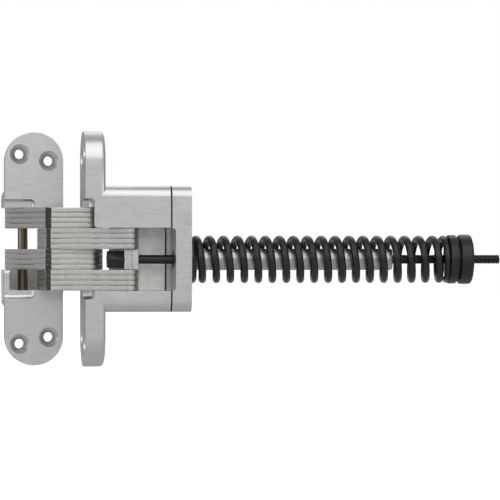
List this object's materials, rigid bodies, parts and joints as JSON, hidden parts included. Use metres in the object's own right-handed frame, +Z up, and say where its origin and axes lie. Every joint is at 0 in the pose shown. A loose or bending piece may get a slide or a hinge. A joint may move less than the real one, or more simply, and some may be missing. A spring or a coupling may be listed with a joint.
{
  "type": "concealed hinge with spring closer",
  "caption": "Concealed mortise hinge: two rounded leaves joined by crossing link packs, with a coil spring closer on a rod behind the door leaf.",
  "frame": {"origin": "centre of the jamb leaf's face plate, on its face", "axes": "+X across the jamb leaf to the door leaf and along the closing spring, +Y into the jamb, +Z up along the pins"},
  "size_m": [0.2945, 0.1001, 0.1396],
  "materials": {
    "casting": "satin nickel plating, brushed",
    "link_steel": "bright stamped steel",
    "pin_steel": "ground steel",
    "slide_pin_bronze": "bronze coloured",
    "tube_steel": "satin drawn tube",
    "cap_screw_steel": "black oxide",
    "black_steel": "black oxide, semi-gloss"
  },
  "bodies": {
    "jamb": {"jamb_leaf": "casting", "jamb_pivot_pin": "pin_steel"},
    "link_b": {"link_b_plate_1": "link_steel", "link_b_plate_2": "link_steel", "link_b_plate_3": "link_steel", "link_b_plate_4": "link_steel", "link_b_plate_5": "link_steel", "link_b_plate_6": "link_steel", "link_b_plate_7": "link_steel", "link_b_plate_8": "link_steel", "crossing_pin": "pin_steel"},
    "link_a": {"link_a_plate_1": "link_steel", "link_a_plate_2": "link_steel", "link_a_plate_3": "link_steel", "link_a_plate_4": "link_steel", "link_a_plate_5": "link_steel", "link_a_plate_6": "link_steel", "link_a_plate_7": "link_steel", "link_a_plate_8": "link_steel", "jamb_slide_pin": "slide_pin_bronze"},
    "door": {"door_leaf": "casting", "door_pivot_pin": "pin_steel", "end_cap": "casting", "guide_tube": "tube_steel", "cap_screws": "cap_screw_steel", "spring": "black_steel"},
    "drawbar": {"trunnion": "pin_steel", "draw_rod": "black_steel", "spring_seat": "black_steel", "adjusting_nut": "black_steel"}
  },
  "joints": [
    {"name": "jamb_pivot", "type": "hinge", "parent": "jamb", "child": "link_b", "pos_m": [0.0138, 0.0092, 0], "axis": [0, 0, 1], "range_deg": [-60, 60]},
    {"name": "crossing_pivot", "type": "hinge", "parent": "link_b", "child": "link_a", "pos_m": [0.00935, -0.01731, 0], "axis": [0, 0, 1], "range_deg": [-30, 30]},
    {"name": "door_pivot", "type": "hinge", "parent": "link_a", "child": "door", "pos_m": [0.03586, -0.01286, 0], "axis": [0, 0, 1], "range_deg": [-60, 60]},
    {"name": "trunnion_pivot", "type": "hinge", "parent": "link_b", "child": "drawbar", "pos_m": [0.05466, -0.03126, 0], "axis": [0, 0, 1], "range_deg": [-30, 30], "deforming": ["spring"]}
  ],
  "couplings": [
    {"joint": "crossing_pivot", "follows": "jamb_pivot", "ratio": -0.5},
    {"joint": "door_pivot", "follows": "jamb_pivot", "ratio": 1},
    {"joint": "trunnion_pivot", "follows": "jamb_pivot", "ratio": 0.5}
  ]
}
